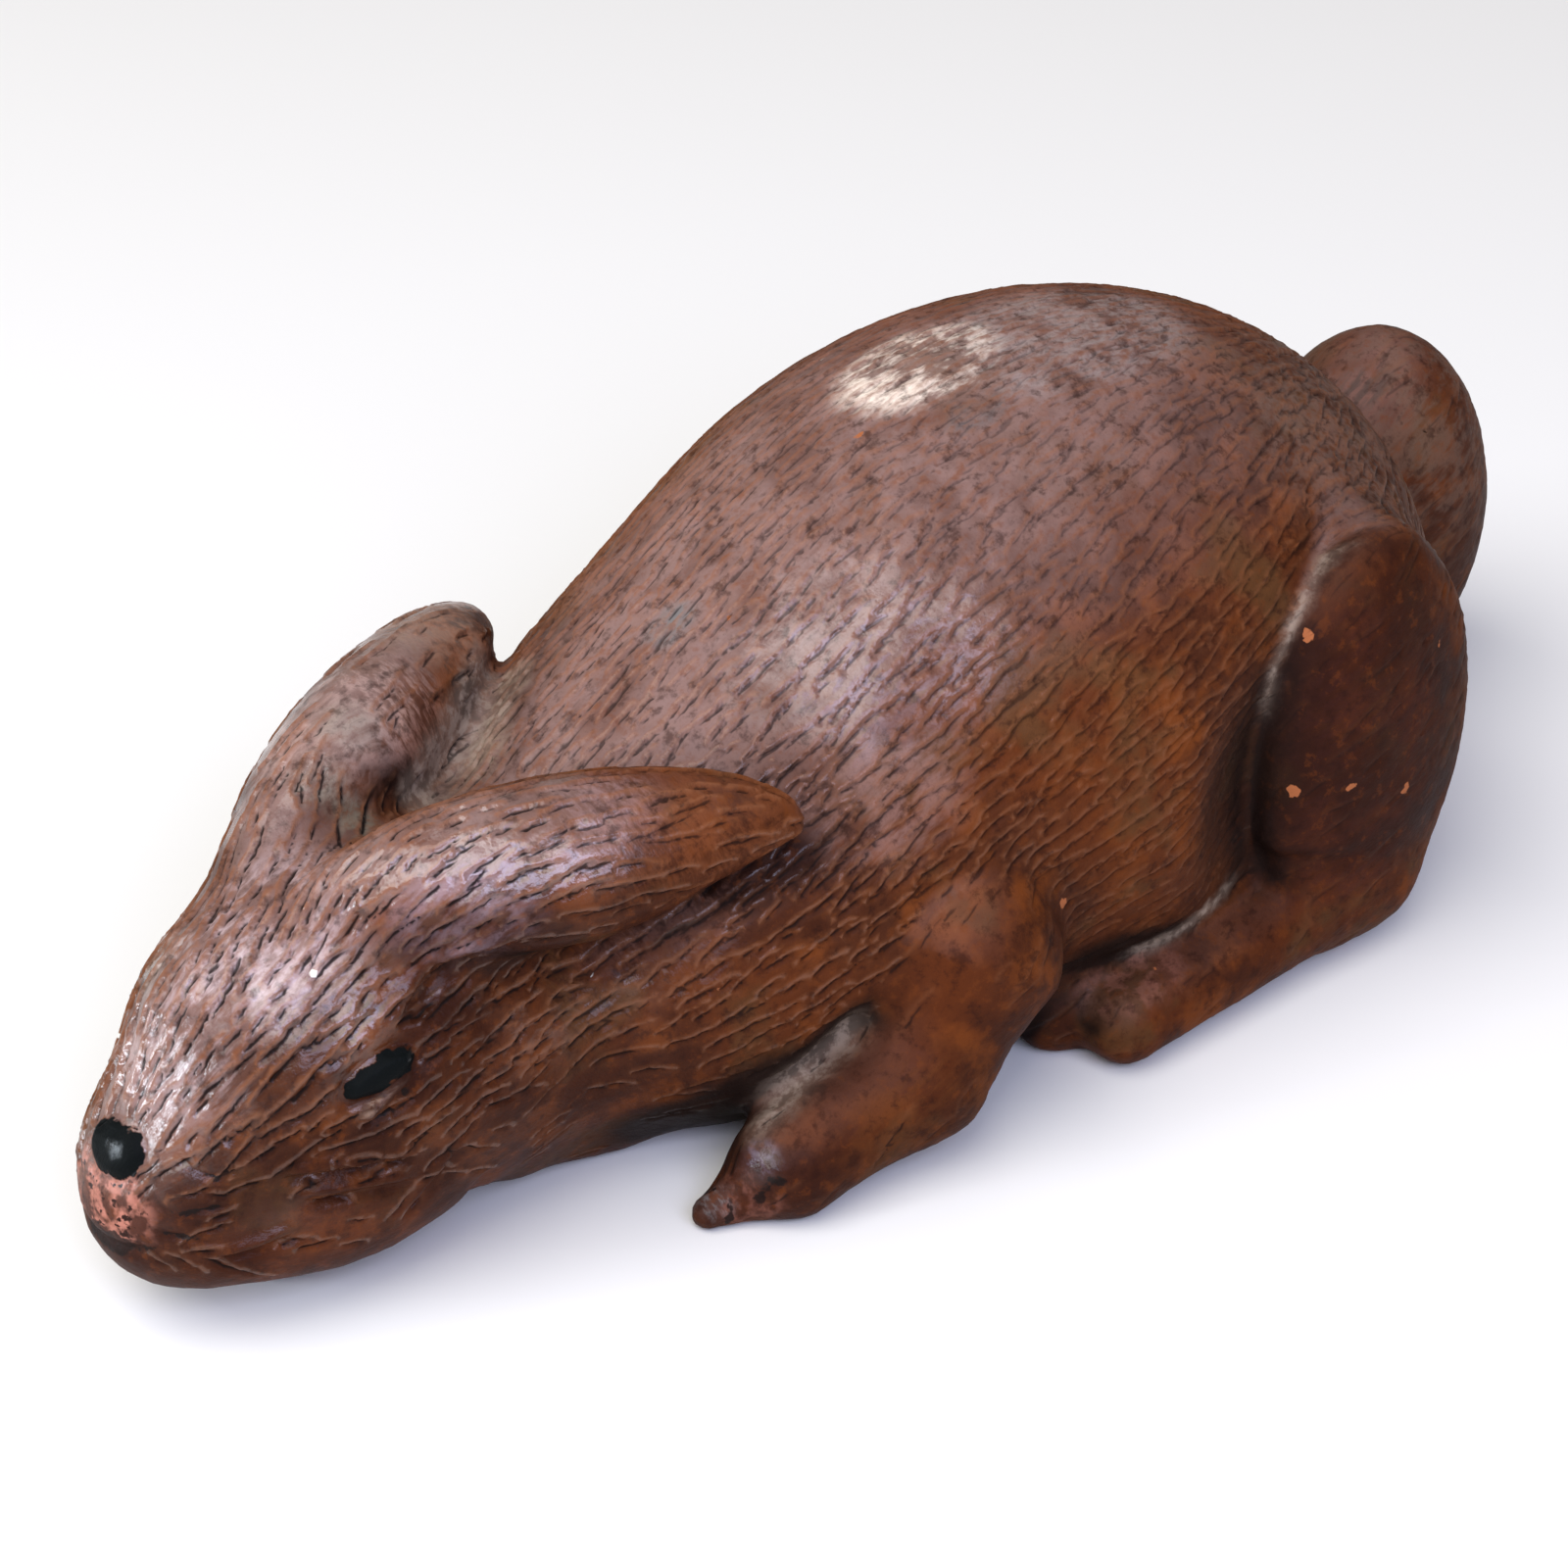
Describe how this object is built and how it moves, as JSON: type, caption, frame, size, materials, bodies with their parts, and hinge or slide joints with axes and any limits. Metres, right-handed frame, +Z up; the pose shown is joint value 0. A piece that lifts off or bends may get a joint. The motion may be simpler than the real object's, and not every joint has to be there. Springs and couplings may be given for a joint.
{
  "type": "terracotta rabbit figurine",
  "caption": "Terracotta rabbit lying with its chin on the ground, ears laid back in a V and tail up, its fur cut in short tool strokes under a waxed dark patina.",
  "frame": {"origin": "middle of the bounding box, on the ground under the figure", "axes": "+X from the nose to the tail, the rabbit's left side towards -Y, +Z up"},
  "size_m": [0.2224, 0.0934, 0.0779],
  "materials": {
    "terracotta": null
  },
  "bodies": {
    "root": {"rabbit": "terracotta"}
  },
  "joints": []
}
